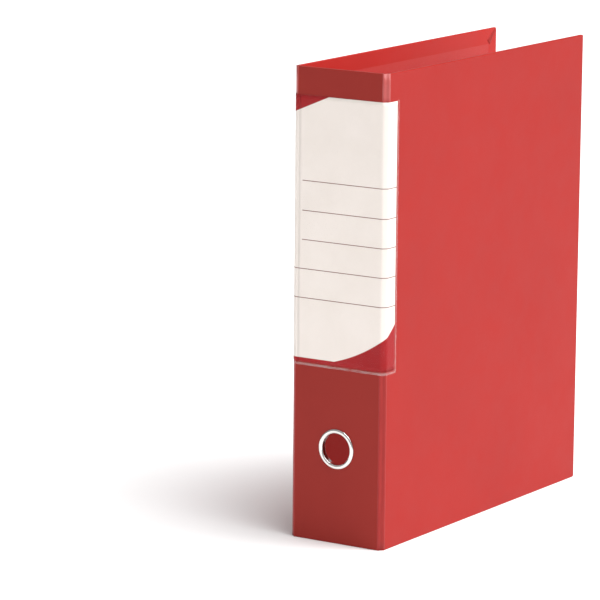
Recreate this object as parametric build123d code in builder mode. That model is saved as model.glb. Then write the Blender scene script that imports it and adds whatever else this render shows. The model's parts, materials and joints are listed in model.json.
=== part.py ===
from build123d import *
import math
import os

# A lever arch file that stands closed on its bottom end. Millimetres, +Z up.
# The spine faces -Y, the front cover is at +X, and the back cover at -X carries the mechanism.
# The origin is at the middle of the footprint.

# ---------------------------------------------------------------- driving dimensions: the case
HEIGHT = 350.0
DEPTH = 285.0            # spine's outer face to the covers' fore edge
WIDTH = 80.0             # over both covers
COVERING = 0.3           # red film outside the boards
BOARD = 1.9              # greyboard
LINING = 0.3             # paper inside
HINGE_SETBACK = 4.2      # the corner facet's reach along the spine and along the cover
FACET_TURN = math.radians(45)
HINGE_FILM = 0.5         # covering and lining glued together where the case bends
TURN_IN = 12.0           # how far the covering folds over onto the inside
CORNER_R = 1.5           # corners of the panels, seen flat
EDGE_R = 0.6             # rounding of the covered edges

# ---------------------------------------------------------------- finger ring
RING_HEIGHT = 71.0       # centre above the bottom edge
RING_BORE_R = 11.75
RING_FLANGE = 3.25       # width of the flange outside the bore
RING_FLANGE_T = 1.2      # stands proud of the spine
RING_ROUND = 0.9         # outer edge of the flange
RING_SHEET = 0.4
RING_LIP = 1.85          # clinched lip over the washer
RING_HOLE_GAP = 0.05
WASHER_WIDTH = 2.4
WASHER_T = 0.5

# ---------------------------------------------------------------- label and its pocket
POCKET_BOTTOM = 130.4
POCKET_FROM_TOP = 20.0
POCKET_WRAP = 12.0       # reach over the front cover, past the corner facet
POCKET_SIDE_GAP = 0.4    # from the spine panel's other edge
POCKET_FILM = 0.2
POCKET_WELD = 2.0        # width of the welded borders
CARD_T = 0.3
CARD_GAP = 0.06
CARD_MARGIN = 0.6        # inside the welds

# ---------------------------------------------------------------- where the mechanism sits
MECH_FROM_SPINE = 45.0   # spine's inner face to the middle of the rings
MECH_ABOVE_MIDDLE = 11.0 # middle of the mechanism above the middle of the file
RING_PITCH = 80.0
RING_SPAN = 40.0         # arch leg to post
RING_HEADROOM = 7.0      # top of the rings to the front cover's lining
WIRE_R = 2.0
ARCH_FLAT = 1.0          # straight stretch at the top of an arch
SPLIT_BELOW_BEND = 4.5   # where arch and post meet, under the arch's bend
RING_SPLIT_GAP = 0.06
JOINT_OVERLENGTH = 3.2   # wire past the joint before it is cut there
JOINT_CUT = 12.0         # size of the cut

# ---------------------------------------------------------------- base plate
PLATE_T = 1.2
PLATE_ROUND = 0.96
PLATE_TOP = 6.0
PLATE_EDGE = 7.0         # post to the plate's flank
PLATE_NOSE = 16.0        # post to the middle of the nose's arc
PLATE_ARC_R = 9.0
PLATE_RIM = 3.0          # depth of the down-turned rim, from the plate's top
FOOT_BOTTOM_R = 5.5
FOOT_TOP_R = 8.3
FOOT_FROM_NOSE = 5.0
FOOT_FROM_RIM = 0.5
WINDOW_LENGTH = 20.0
WINDOW_WIDTH = 8.0
WINDOW_FROM_POST = 14.0
WINDOW_V = 9.0
RIVET_R = 1.75
RIVET_HEAD_R = 4.0
RIVET_HEAD_T = 0.9
RIVET_HEAD_ROUND = 0.72
RIVET_CLINCH_R = 3.2
RIVET_CLINCH_T = 0.8
RIVET_CLINCH_ROUND = 0.4

# ---------------------------------------------------------------- posts
COLLAR = 1.5             # width of the shoulder round a post
COLLAR_T = 1.2
PEEN = 1.2
PEEN_T = 0.8

# ---------------------------------------------------------------- arches
LEG_BEND_R = 5.0
CRANK_ARM = 16.5
CRANK_LOW_U = -20.0
CRANK_HIGH_U = 2.0
CRANK_BEND_R = 4.0
SHAFT_RUNNING_GAP = 0.05
CLIP_LENGTH = 6.5
CLIP_FROM_BEND = 2.75
CLIP_T = 1.0
CLIP_FOOT = 3.15         # reach of each foot past the strap
SPRING_WIRE_R = 0.4
SPRING_GAP = 0.4         # round the shaft
SPRING_PLATE_GAP = 0.6
SPRING_FROM_CRANK = 2.0
SPRING_PITCH = 1.5
SPRING_TURNS = 6

# ---------------------------------------------------------------- lever
PIVOT_U = 13.5
ROLLER_U = -4.5
ROLLER_R = 3.5
ROLLER_END_GAP = 0.2
ROLLER_REST_GAP = 0.05
ROLLER_STRIP_GAP = 0.45
ROLLER_PIN_R = 1.25
LEVER_T = 2.6
LEVER_GAP = 8.0          # between the lever's lugs
LUG_T = 1.2
LUG_R = 3.4
LEVER_PIN_R = 2.0
PIN_RUNNING_GAP = 0.05
LEVER_OVER_PLATE = 6.0   # the low straight stretch
LEVER_RISE = 16.5        # from there up to the handle
LEVER_HEEL = 3.5         # past the pivot
LEVER_HUMP_U = -10.0
LEVER_DIP_U = -24.0
LEVER_RISE_U = -67.0
LEVER_CREST_U = -77.0
LEVER_TIP_U = -88.0
LEVER_BEND_R = 5.0
LEVER_TIP_R = 4.4
EAR_GAP = 0.3
EAR_T = 1.2
EAR_OVER_PIVOT = 3.55
EAR_HALF_LENGTH = 4.2
BRACKET_TAIL = 12.5      # pivot to the bracket's far edge
PIN_HEAD_R = 3.0
PIN_HEAD_T = 0.8
BRACKET_RIVET_R = 1.2
BRACKET_RIVET_HEAD_R = 2.4
BRACKET_RIVET_HEAD_T = 0.6

# ---------------------------------------------------------------- press bar
BAR_T = 2.0
BAR_ROUND = 0.5
BAR_WIDTH = 11.0
BAR_SEAT_GAP = 0.1
BAR_HUB_R = 11.0
EYE_RIM = 4.5
EYE_HOLE_GAP = 0.6       # round the post
EYE_HOLE_LENGTH = 9.0
KNOB_R = 10.0
KNOB_HEIGHT = 12.0
KNOB_SHEET = 1.0
KNOB_NOTCH_R = 4.2
KNOB_NOTCHES = 3
INLAY_RIM = 1.6          # knob's edge to the inlay
INLAY_T = 0.8
KNOB_RIVET_R = 2.0
KNOB_RIVET_HEAD_R = 3.5
KNOB_RIVET_HEAD_T = 0.7

# ---------------------------------------------------------------- values that follow: the case
PANEL = COVERING + BOARD + LINING
SPINE_Y = -DEPTH / 2                       # spine's outer face
SPINE_INNER_Y = SPINE_Y + PANEL
HALF_WIDTH = WIDTH / 2
SPINE_HALF = HALF_WIDTH - HINGE_SETBACK    # half of the flat spine panel
COVER_Y = SPINE_Y + HINGE_SETBACK          # where the covers start
COVER_REACH = DEPTH - HINGE_SETBACK
MID_Z = HEIGHT / 2
RING_HOLE_R = RING_BORE_R + RING_SHEET + RING_HOLE_GAP
POCKET_TOP = HEIGHT - POCKET_FROM_TOP

# ---------------------------------------------------------------- values that follow: mechanism
# v runs to the fore edge, u runs up, and w leaves the back cover's lining.
MECH_X = -HALF_WIDTH + PANEL
MECH_Y = SPINE_INNER_Y + MECH_FROM_SPINE
MECH_Z = MID_Z + MECH_ABOVE_MIDDLE
POST_V = RING_SPAN / 2
SHAFT_V = -RING_SPAN / 2
RING_U = RING_PITCH / 2
PLATE_HALF = POST_V + PLATE_EDGE
PLATE_SIDE_V = PLATE_HALF - PLATE_ARC_R
PLATE_NOSE_U = RING_U + PLATE_NOSE
PLATE_BOTTOM = PLATE_TOP - PLATE_T
FOOT_U = PLATE_NOSE_U - FOOT_FROM_NOSE
FOOT_V = PLATE_HALF - PLATE_T - FOOT_FROM_RIM - FOOT_TOP_R
FOOT_POINTS = [(0, FOOT_U), (0, -FOOT_U), (FOOT_V, 0), (-FOOT_V, 0)]
WINDOW_U = RING_U - WINDOW_FROM_POST
SPRING_R = WIRE_R + SPRING_GAP + SPRING_WIRE_R
SPRING_START_U = CRANK_HIGH_U + CRANK_BEND_R + SPRING_FROM_CRANK
SHAFT_LEVEL = PLATE_TOP + SPRING_PLATE_GAP + SPRING_R + SPRING_WIRE_R
CLIP_U = RING_U - LEG_BEND_R - CLIP_FROM_BEND - CLIP_LENGTH / 2
RING_TOP = WIDTH - 2 * PANEL - RING_HEADROOM
ARCH_LEVEL = RING_TOP - WIRE_R
ARCH_TOP_R = (RING_SPAN - ARCH_FLAT) / 2
RING_SPLIT = ARCH_LEVEL - ARCH_TOP_R - SPLIT_BELOW_BEND
LEVER_V = SHAFT_V + CRANK_ARM
LEVER_WIDTH = LEVER_GAP + 2 * LUG_T
PIVOT_LEVEL = SHAFT_LEVEL + WIRE_R + ROLLER_REST_GAP + ROLLER_R
LEVER_STRIP_LEVEL = PIVOT_LEVEL + ROLLER_R + ROLLER_STRIP_GAP + LEVER_T / 2
LEVER_LOW_LEVEL = PLATE_TOP + LEVER_OVER_PLATE
LEVER_HANDLE_LEVEL = LEVER_LOW_LEVEL + LEVER_RISE
EAR_TOP = PIVOT_LEVEL + EAR_OVER_PIVOT
BRACKET_BACK_U = PIVOT_U + BRACKET_TAIL
BAR_BOTTOM = PLATE_TOP + COLLAR_T + BAR_SEAT_GAP
BAR_TOP = BAR_BOTTOM + BAR_T
KNOB_TOP = BAR_TOP + KNOB_HEIGHT
KNOB_CEILING = KNOB_TOP - INLAY_T

# ---------------------------------------------------------------- working planes
# Case panels: the plane lies on the outer face and its normal points into the board.
SPINE_FACE = Plane(origin=(0, SPINE_Y, MID_Z), x_dir=(-1, 0, 0), z_dir=(0, 1, 0))
FRONT_FACE = Plane(origin=(HALF_WIDTH, COVER_Y, MID_Z), x_dir=(0, 1, 0), z_dir=(-1, 0, 0))
BACK_FACE = Plane(origin=(-HALF_WIDTH, COVER_Y, MID_Z), x_dir=(0, 1, 0), z_dir=(1, 0, 0))
# Mechanism: x runs to the fore edge (v), y runs up (u), and the normal leaves the back cover (w).
MECH = Plane(origin=(MECH_X, MECH_Y, MECH_Z), x_dir=(0, 1, 0), z_dir=(1, 0, 0))


def at(v, u, w):
    """A point of the mechanism in the part's frame."""
    return MECH.from_local_coords(Vector(v, u, w))


def across(v):
    """The plane at v whose x runs up (u) and whose y leaves the back cover (w)."""
    return Plane(origin=at(v, 0, 0), x_dir=(0, 0, 1), z_dir=(0, 1, 0))


def along(u):
    """The plane at u whose x runs to the fore edge (v) and whose y leaves the back cover (w)."""
    return Plane(origin=at(0, u, 0), x_dir=(0, 1, 0), z_dir=(0, 0, -1))


def save(name, piece):
    piece.label = name
    export_step(piece, f"parts/{name}.step")


# ================================================================ case
def cover_sheet(face, depth, thickness, inset, corner_r):
    """A flat sheet of a cover: square at the hinge, rounded at the fore edge."""
    with BuildPart() as sheet:
        with BuildSketch(face.offset(depth)) as flat:
            Rectangle(COVER_REACH - inset, HEIGHT - 2 * inset, align=(Align.MIN, Align.CENTER))
            fillet(flat.vertices().group_by(Axis.X)[-1], corner_r)
        extrude(amount=thickness)
    return sheet.part


def drill_rivet_holes(depth):
    """Holes through the back cover for the base plate's rivets."""
    with BuildSketch(MECH.offset(-PANEL)) as holes:
        with Locations(*FOOT_POINTS):
            Circle(RIVET_R)
    extrude(holes.sketch, amount=depth, mode=Mode.SUBTRACT)


def cover_board(face, drilled):
    with BuildPart() as board:
        add(cover_sheet(face, COVERING, BOARD, COVERING, CORNER_R - COVERING))
        if drilled:
            drill_rivet_holes(PANEL)
    return board.part


def cover_lining(face, drilled):
    with BuildPart() as lining:
        add(cover_sheet(face, COVERING + BOARD, LINING, TURN_IN, CORNER_R))
        if drilled:
            drill_rivet_holes(PANEL)
    return lining.part


def cover_covering(face, drilled):
    """The film round a cover's board, open at the hinge and inside the turned-in edge."""
    with BuildPart() as covering:
        add(cover_sheet(face, 0, PANEL, 0, CORNER_R))
        rims = covering.edges().filter_by(Axis.X, reverse=True)
        fillet(rims.filter_by(lambda edge: edge.center().Y > COVER_Y + EDGE_R), EDGE_R)
        add(cover_sheet(face, COVERING, BOARD, COVERING, CORNER_R - COVERING), mode=Mode.SUBTRACT)
        add(cover_sheet(face, COVERING + BOARD, LINING, TURN_IN, CORNER_R), mode=Mode.SUBTRACT)
        if drilled:
            drill_rivet_holes(PANEL)
    return covering.part


def spine_sheet(depth, thickness, inset):
    """A flat sheet of the spine with the hole for the finger ring."""
    with BuildPart() as sheet:
        with BuildSketch(SPINE_FACE.offset(depth)):
            Rectangle(2 * SPINE_HALF, HEIGHT - 2 * inset)
            with Locations((0, RING_HEIGHT - MID_Z)):
                Circle(RING_HOLE_R, mode=Mode.SUBTRACT)
        extrude(amount=thickness)
    return sheet.part


def spine_covering_film():
    with BuildPart() as covering:
        add(spine_sheet(0, PANEL, 0))
        ends = covering.edges().filter_by(Axis.X)
        fillet(ends, EDGE_R)
        add(spine_sheet(COVERING, BOARD, COVERING), mode=Mode.SUBTRACT)
        add(spine_sheet(COVERING + BOARD, LINING, TURN_IN), mode=Mode.SUBTRACT)
    return covering.part


def hinge_strip(side):
    """The film that bends between the spine and a cover, as the corner's 45 degree facet."""
    depth = HINGE_FILM * math.sqrt(2)
    with BuildPart() as strip:
        with BuildSketch(Plane.XY):
            with BuildLine():
                Polyline(
                    (side * SPINE_HALF, SPINE_Y),
                    (side * HALF_WIDTH, COVER_Y),
                    (side * (HALF_WIDTH - depth), COVER_Y),
                    (side * SPINE_HALF, SPINE_Y + depth),
                    close=True,
                )
            make_face()
        extrude(amount=HEIGHT)
    return strip.part


# ================================================================ finger ring
RING_AXIS = Axis((0, 0, RING_HEIGHT), (0, 1, 0))
LIP_Y = SPINE_INNER_Y + WASHER_T

with BuildPart() as finger_ring:
    with BuildSketch(Plane.XY.offset(RING_HEIGHT)):
        with Locations((RING_BORE_R, SPINE_Y - RING_FLANGE_T)):
            Rectangle(RING_SHEET, LIP_Y + RING_SHEET - SPINE_Y + RING_FLANGE_T, align=Align.MIN)
            Rectangle(RING_FLANGE, RING_FLANGE_T, align=Align.MIN)
        with Locations((RING_BORE_R, LIP_Y)):
            Rectangle(RING_LIP, RING_SHEET, align=Align.MIN)
    revolve(axis=RING_AXIS)
    fillet(finger_ring.faces().sort_by(Axis.Y)[0].outer_wire().edges(), RING_ROUND)
    fillet(finger_ring.faces().sort_by(Axis.Y)[0].inner_wires().edges(), RING_SHEET)

with BuildPart() as finger_ring_washer:
    with BuildSketch(SPINE_FACE.offset(PANEL)):
        with Locations((0, RING_HEIGHT - MID_Z)):
            Circle(RING_HOLE_R + WASHER_WIDTH)
            Circle(RING_HOLE_R, mode=Mode.SUBTRACT)
    extrude(amount=WASHER_T)


# ================================================================ label and pocket
def wrap_line(start_x, distance, end_y):
    """A line round the spine's front corner, at a distance outside the case."""
    step = distance * math.tan(FACET_TURN / 2)
    return [
        (start_x, SPINE_Y - distance),
        (SPINE_HALF + step, SPINE_Y - distance),
        (HALF_WIDTH + distance, COVER_Y - step),
        (HALF_WIDTH + distance, end_y),
    ]


def wrap_sheet(inset, near, far, bottom, top):
    """A sheet that lies round the corner between two distances outside the case."""
    start_x = -SPINE_HALF + POCKET_SIDE_GAP + inset
    end_y = COVER_Y + POCKET_WRAP - inset
    with BuildPart() as sheet:
        with BuildSketch(Plane.XY.offset(bottom)):
            with BuildLine():
                inside = wrap_line(start_x, near, end_y)
                outside = wrap_line(start_x, far, end_y)
                Polyline(*inside, *reversed(outside), close=True)
            make_face()
        extrude(amount=top - bottom)
    return sheet.part


CARD_INSET = POCKET_WELD + CARD_MARGIN

with BuildPart() as label_card:
    add(wrap_sheet(CARD_INSET, 0, CARD_T, POCKET_BOTTOM + CARD_INSET, POCKET_TOP - CARD_MARGIN))

with BuildPart() as label_pocket:
    add(wrap_sheet(0, 0, CARD_T + CARD_GAP + POCKET_FILM, POCKET_BOTTOM, POCKET_TOP))
    pouch = wrap_sheet(POCKET_WELD, 0, CARD_T + CARD_GAP, POCKET_BOTTOM + POCKET_WELD, POCKET_TOP)
    add(pouch, mode=Mode.SUBTRACT)


# ================================================================ base plate and its rivets
def plate_outline():
    """The boat shape: two blunt noses and straight flanks."""
    with BuildSketch() as outline:
        with Locations(
            (PLATE_SIDE_V, RING_U),
            (PLATE_SIDE_V, -RING_U),
            (-PLATE_SIDE_V, RING_U),
            (-PLATE_SIDE_V, -RING_U),
            (0, PLATE_NOSE_U),
            (0, -PLATE_NOSE_U),
        ):
            Circle(PLATE_ARC_R)
        make_hull()
    return outline.sketch


FOOT_TAPER = math.degrees(math.atan((FOOT_TOP_R - FOOT_BOTTOM_R) / PLATE_TOP))
BRACKET_HALF = LEVER_WIDTH / 2 + EAR_GAP + EAR_T
BRACKET_RIVETS = [
    (LEVER_V - LEVER_GAP / 2, BRACKET_BACK_U - EAR_HALF_LENGTH),
    (LEVER_V + LEVER_GAP / 2, BRACKET_BACK_U - EAR_HALF_LENGTH),
]

with BuildPart() as base_plate:
    with BuildSketch(MECH.offset(PLATE_TOP - PLATE_RIM)):
        add(plate_outline())
    extrude(amount=PLATE_RIM)
    fillet(base_plate.faces().sort_by(Axis.X)[-1].edges(), PLATE_ROUND)
    with BuildSketch(MECH.offset(PLATE_TOP - PLATE_RIM)):
        add(offset(plate_outline(), amount=-PLATE_T, mode=Mode.PRIVATE))
    extrude(amount=PLATE_RIM - PLATE_T, mode=Mode.SUBTRACT)
    with BuildSketch(MECH):
        with Locations(*FOOT_POINTS):
            Circle(FOOT_BOTTOM_R)
    extrude(amount=PLATE_TOP, taper=-FOOT_TAPER)
    with BuildSketch(MECH.offset(PLATE_T)):
        with Locations(*FOOT_POINTS):
            Circle(FOOT_BOTTOM_R - PLATE_T / 2)
    extrude(amount=PLATE_TOP - PLATE_T, taper=-FOOT_TAPER, mode=Mode.SUBTRACT)
    with BuildSketch(MECH):
        with Locations(*FOOT_POINTS):
            Circle(RIVET_R)
        with Locations((POST_V, RING_U), (POST_V, -RING_U)):
            Circle(WIRE_R)
        with Locations(*BRACKET_RIVETS):
            Circle(BRACKET_RIVET_R)
        with Locations((WINDOW_V, WINDOW_U), (WINDOW_V, -WINDOW_U)):
            SlotOverall(WINDOW_LENGTH, WINDOW_WIDTH, rotation=90)
    extrude(amount=PLATE_TOP, mode=Mode.SUBTRACT)

with BuildPart() as base_rivets:
    with BuildSketch(MECH.offset(-PANEL)):
        with Locations(*FOOT_POINTS):
            Circle(RIVET_R)
    extrude(amount=PANEL + PLATE_T)
    with BuildSketch(MECH.offset(-PANEL)):
        with Locations(*FOOT_POINTS):
            Circle(RIVET_HEAD_R)
    extrude(amount=-RIVET_HEAD_T)
    fillet(base_rivets.edges().group_by(Axis.X)[0], RIVET_HEAD_ROUND)
    with BuildSketch(MECH.offset(PLATE_T)):
        with Locations(*FOOT_POINTS):
            Circle(RIVET_CLINCH_R)
    extrude(amount=RIVET_CLINCH_T)
    fillet(base_rivets.edges().group_by(Axis.X)[-1], RIVET_CLINCH_ROUND)


# ================================================================ posts and arches
# The rings part on a plane through the arches' shaft, so the tips leave the posts squarely.
RING_JOINT = Plane(
    origin=at(POST_V, 0, RING_SPLIT),
    x_dir=(0, 0, 1),
    z_dir=(RING_SPAN, SHAFT_LEVEL - RING_SPLIT, 0),
)


def cut_at_joint(shift, depth):
    with BuildSketch(RING_JOINT.offset(shift)) as waste:
        Rectangle(RING_PITCH + JOINT_CUT, JOINT_CUT)
    extrude(waste.sketch, amount=depth, mode=Mode.SUBTRACT)


def ring_post(u):
    """A fixed half of a ring, shouldered on the base plate and peened under it."""
    with BuildPart() as post:
        with BuildSketch(MECH.offset(PLATE_BOTTOM)):
            with Locations((POST_V, u)):
                Circle(WIRE_R)
        extrude(amount=RING_SPLIT + JOINT_OVERLENGTH - PLATE_BOTTOM)
        with BuildSketch(MECH.offset(PLATE_TOP)):
            with Locations((POST_V, u)):
                Circle(WIRE_R + COLLAR)
        extrude(amount=COLLAR_T)
        with BuildSketch(MECH.offset(PLATE_BOTTOM)):
            with Locations((POST_V, u)):
                Circle(WIRE_R + PEEN)
        extrude(amount=-PEEN_T)
        cut_at_joint(-RING_SPLIT_GAP / 2, JOINT_CUT)
    return post.part


TIP_LEVEL = RING_SPLIT - JOINT_OVERLENGTH

with BuildPart() as arch_wire:
    with BuildLine():
        FilletPolyline(
            at(POST_V, -RING_U, TIP_LEVEL),
            at(POST_V, -RING_U, ARCH_LEVEL),
            at(SHAFT_V, -RING_U, ARCH_LEVEL),
            at(SHAFT_V, -RING_U, SHAFT_LEVEL),
            at(SHAFT_V, CRANK_LOW_U, SHAFT_LEVEL),
            at(LEVER_V, CRANK_LOW_U, SHAFT_LEVEL),
            at(LEVER_V, CRANK_HIGH_U, SHAFT_LEVEL),
            at(SHAFT_V, CRANK_HIGH_U, SHAFT_LEVEL),
            at(SHAFT_V, RING_U, SHAFT_LEVEL),
            at(SHAFT_V, RING_U, ARCH_LEVEL),
            at(POST_V, RING_U, ARCH_LEVEL),
            at(POST_V, RING_U, TIP_LEVEL),
            radius=[ARCH_TOP_R] * 2 + [LEG_BEND_R] + [CRANK_BEND_R] * 4 + [LEG_BEND_R] + [ARCH_TOP_R] * 2,
        )
    with BuildSketch(MECH.offset(TIP_LEVEL)):
        with Locations((POST_V, -RING_U)):
            Circle(WIRE_R)
    sweep()
    cut_at_joint(RING_SPLIT_GAP / 2, -JOINT_CUT)


def arch_clip(u):
    """A strap over the shaft, spot-welded to the base plate by its two feet."""
    bore = WIRE_R + SHAFT_RUNNING_GAP
    with BuildPart() as clip:
        with BuildSketch(along(u + CLIP_LENGTH / 2)):
            with Locations((SHAFT_V, SHAFT_LEVEL)):
                Circle(bore + CLIP_T)
            with Locations((SHAFT_V, PLATE_TOP)):
                Rectangle(2 * (bore + CLIP_T), SHAFT_LEVEL - PLATE_TOP, align=(Align.CENTER, Align.MIN))
                Rectangle(2 * (bore + CLIP_T + CLIP_FOOT), CLIP_T, align=(Align.CENTER, Align.MIN))
                Rectangle(
                    2 * bore,
                    SHAFT_LEVEL - PLATE_TOP,
                    align=(Align.CENTER, Align.MIN),
                    mode=Mode.SUBTRACT,
                )
            with Locations((SHAFT_V, SHAFT_LEVEL)):
                Circle(bore, mode=Mode.SUBTRACT)
        extrude(amount=CLIP_LENGTH)
    return clip.part


with BuildPart() as arch_spring:
    with BuildLine() as coil:
        Helix(
            pitch=SPRING_PITCH,
            height=SPRING_PITCH * (SPRING_TURNS + 0.5),
            radius=SPRING_R,
            center=at(SHAFT_V, SPRING_START_U, SHAFT_LEVEL),
        )
    with BuildSketch(Plane(origin=coil.line @ 0, z_dir=coil.line % 0)):
        Circle(SPRING_WIRE_R)
    sweep(is_frenet=True)


# ================================================================ lever
def lever_ear(v, thickness):
    """An upright of the lever bracket."""
    with BuildSketch(across(v)) as ear:
        with Locations((PIVOT_U, EAR_TOP - EAR_HALF_LENGTH)):
            Circle(EAR_HALF_LENGTH)
        with Locations((PIVOT_U, PLATE_TOP)):
            height = EAR_TOP - EAR_HALF_LENGTH - PLATE_TOP
            Rectangle(2 * EAR_HALF_LENGTH, height, align=(Align.CENTER, Align.MIN))
        with Locations((PIVOT_U, PIVOT_LEVEL)):
            Circle(LEVER_PIN_R, mode=Mode.SUBTRACT)
    extrude(ear.sketch, amount=thickness)


with BuildPart() as lever_bracket:
    with BuildSketch(MECH.offset(PLATE_TOP)):
        with Locations((LEVER_V, PIVOT_U - EAR_HALF_LENGTH)):
            length = BRACKET_BACK_U - PIVOT_U + EAR_HALF_LENGTH
            Rectangle(2 * BRACKET_HALF, length, align=(Align.CENTER, Align.MIN))
        with Locations(*BRACKET_RIVETS):
            Circle(BRACKET_RIVET_R, mode=Mode.SUBTRACT)
    extrude(amount=EAR_T)
    lever_ear(LEVER_V - BRACKET_HALF, EAR_T)
    lever_ear(LEVER_V + BRACKET_HALF, -EAR_T)

with BuildPart() as bracket_rivets:
    with BuildSketch(MECH.offset(PLATE_BOTTOM)):
        with Locations(*BRACKET_RIVETS):
            Circle(BRACKET_RIVET_R)
    extrude(amount=PLATE_T + EAR_T)
    with BuildSketch(MECH.offset(PLATE_TOP + EAR_T)):
        with Locations(*BRACKET_RIVETS):
            Circle(BRACKET_RIVET_HEAD_R)
    extrude(amount=BRACKET_RIVET_HEAD_T)
    with BuildSketch(MECH.offset(PLATE_BOTTOM)):
        with Locations(*BRACKET_RIVETS):
            Circle(BRACKET_RIVET_HEAD_R)
    extrude(amount=-BRACKET_RIVET_HEAD_T)

with BuildPart() as lever_pin:
    with BuildSketch(across(LEVER_V)):
        with Locations((PIVOT_U, PIVOT_LEVEL)):
            Circle(LEVER_PIN_R)
    extrude(amount=BRACKET_HALF, both=True)
    with BuildSketch(across(LEVER_V - BRACKET_HALF)):
        with Locations((PIVOT_U, PIVOT_LEVEL)):
            Circle(PIN_HEAD_R)
    extrude(amount=-PIN_HEAD_T)
    with BuildSketch(across(LEVER_V + BRACKET_HALF)):
        with Locations((PIVOT_U, PIVOT_LEVEL)):
            Circle(PIN_HEAD_R)
    extrude(amount=PIN_HEAD_T)


def lever_lugs(u, hole_r):
    """Two cheeks under the lever's strip that hold a cross pin."""
    for v, thickness in (
        (LEVER_V - LEVER_WIDTH / 2, LUG_T),
        (LEVER_V + LEVER_WIDTH / 2, -LUG_T),
    ):
        with BuildSketch(across(v)) as lug:
            with Locations((u, PIVOT_LEVEL)):
                Circle(LUG_R)
                height = LEVER_STRIP_LEVEL - PIVOT_LEVEL
                Rectangle(2 * LUG_R, height, align=(Align.CENTER, Align.MIN))
                Circle(hole_r, mode=Mode.SUBTRACT)
        extrude(lug.sketch, amount=thickness)


with BuildPart() as lever_arm:
    with BuildSketch(across(LEVER_V)):
        with BuildLine():
            FilletPolyline(
                (PIVOT_U + LEVER_HEEL, LEVER_STRIP_LEVEL),
                (LEVER_HUMP_U, LEVER_STRIP_LEVEL),
                (LEVER_DIP_U, LEVER_LOW_LEVEL),
                (LEVER_RISE_U, LEVER_LOW_LEVEL),
                (LEVER_CREST_U, LEVER_HANDLE_LEVEL),
                (LEVER_TIP_U, LEVER_HANDLE_LEVEL),
                radius=LEVER_BEND_R,
            )
        trace(line_width=LEVER_T)
    extrude(amount=LEVER_WIDTH / 2, both=True)
    fillet(lever_arm.edges().filter_by(Axis.X).group_by(Axis.Z)[0], LEVER_TIP_R)
    fillet(lever_arm.edges().filter_by(Axis.X).group_by(Axis.Z)[-1], LEVER_T)
    lever_lugs(PIVOT_U, LEVER_PIN_R + PIN_RUNNING_GAP)
    lever_lugs(ROLLER_U, ROLLER_PIN_R)

with BuildPart() as roller_pin:
    with BuildSketch(across(LEVER_V)):
        with Locations((ROLLER_U, PIVOT_LEVEL)):
            Circle(ROLLER_PIN_R)
    extrude(amount=LEVER_WIDTH / 2 + EAR_GAP, both=True)

with BuildPart() as lever_roller:
    with BuildSketch(across(LEVER_V)):
        with Locations((ROLLER_U, PIVOT_LEVEL)):
            Circle(ROLLER_R)
            Circle(ROLLER_PIN_R + PIN_RUNNING_GAP, mode=Mode.SUBTRACT)
    extrude(amount=LEVER_GAP / 2 - ROLLER_END_GAP, both=True)


# ================================================================ press bar and knob
with BuildPart() as press_bar:
    with BuildSketch(MECH.offset(BAR_BOTTOM)):
        with Locations((POST_V, 0)):
            Rectangle(BAR_WIDTH, RING_PITCH)
            Circle(BAR_HUB_R)
        with Locations((POST_V, RING_U), (POST_V, -RING_U)):
            Circle(EYE_HOLE_LENGTH / 2 + EYE_RIM)
            SlotOverall(EYE_HOLE_LENGTH, 2 * (WIRE_R + EYE_HOLE_GAP), mode=Mode.SUBTRACT)
        with Locations((POST_V, 0)):
            Circle(KNOB_RIVET_R, mode=Mode.SUBTRACT)
    extrude(amount=BAR_T)
    fillet(press_bar.faces().sort_by(Axis.X)[-1].outer_wire().edges(), BAR_ROUND)

with BuildPart() as press_bar_knob:
    with BuildSketch(MECH.offset(BAR_TOP)):
        with Locations((POST_V, 0)):
            Circle(KNOB_R)
    extrude(amount=KNOB_HEIGHT)
    fillet(press_bar_knob.faces().sort_by(Axis.X)[-1].edges(), KNOB_SHEET)
    with BuildSketch(MECH.offset(BAR_TOP)):
        with Locations((POST_V, 0)):
            Circle(KNOB_R - KNOB_SHEET)
    extrude(amount=KNOB_CEILING - KNOB_SHEET - BAR_TOP, mode=Mode.SUBTRACT)
    with BuildSketch(MECH.offset(KNOB_CEILING)):
        with Locations((POST_V, 0)):
            Circle(KNOB_R - INLAY_RIM)
    extrude(amount=INLAY_T, mode=Mode.SUBTRACT)
    with BuildSketch(MECH.offset(KNOB_CEILING)):
        with Locations((POST_V, 0)):
            Circle(KNOB_RIVET_R)
    extrude(amount=-KNOB_SHEET, mode=Mode.SUBTRACT)
    for turn in range(KNOB_NOTCHES):
        angle = 2 * math.pi * turn / KNOB_NOTCHES
        outward = (0, math.cos(angle), math.sin(angle))
        with BuildSketch(Plane(origin=at(POST_V, 0, BAR_TOP), x_dir=(1, 0, 0), z_dir=outward)):
            Circle(KNOB_NOTCH_R)
        extrude(amount=KNOB_R, mode=Mode.SUBTRACT)

with BuildPart() as knob_inlay:
    with BuildSketch(MECH.offset(KNOB_CEILING)):
        with Locations((POST_V, 0)):
            Circle(KNOB_R - INLAY_RIM)
    extrude(amount=INLAY_T)

with BuildPart() as knob_rivet:
    with BuildSketch(MECH.offset(BAR_BOTTOM)):
        with Locations((POST_V, 0)):
            Circle(KNOB_RIVET_R)
    extrude(amount=KNOB_CEILING - BAR_BOTTOM)
    with BuildSketch(MECH.offset(BAR_BOTTOM)):
        with Locations((POST_V, 0)):
            Circle(KNOB_RIVET_HEAD_R)
    extrude(amount=-KNOB_RIVET_HEAD_T)


# ================================================================ write the pieces
os.makedirs("parts", exist_ok=True)

for cover, face, drilled in (("front", FRONT_FACE, False), ("back", BACK_FACE, True)):
    save(f"{cover}_board", cover_board(face, drilled))
    save(f"{cover}_covering", cover_covering(face, drilled))
    save(f"{cover}_lining", cover_lining(face, drilled))

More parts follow.
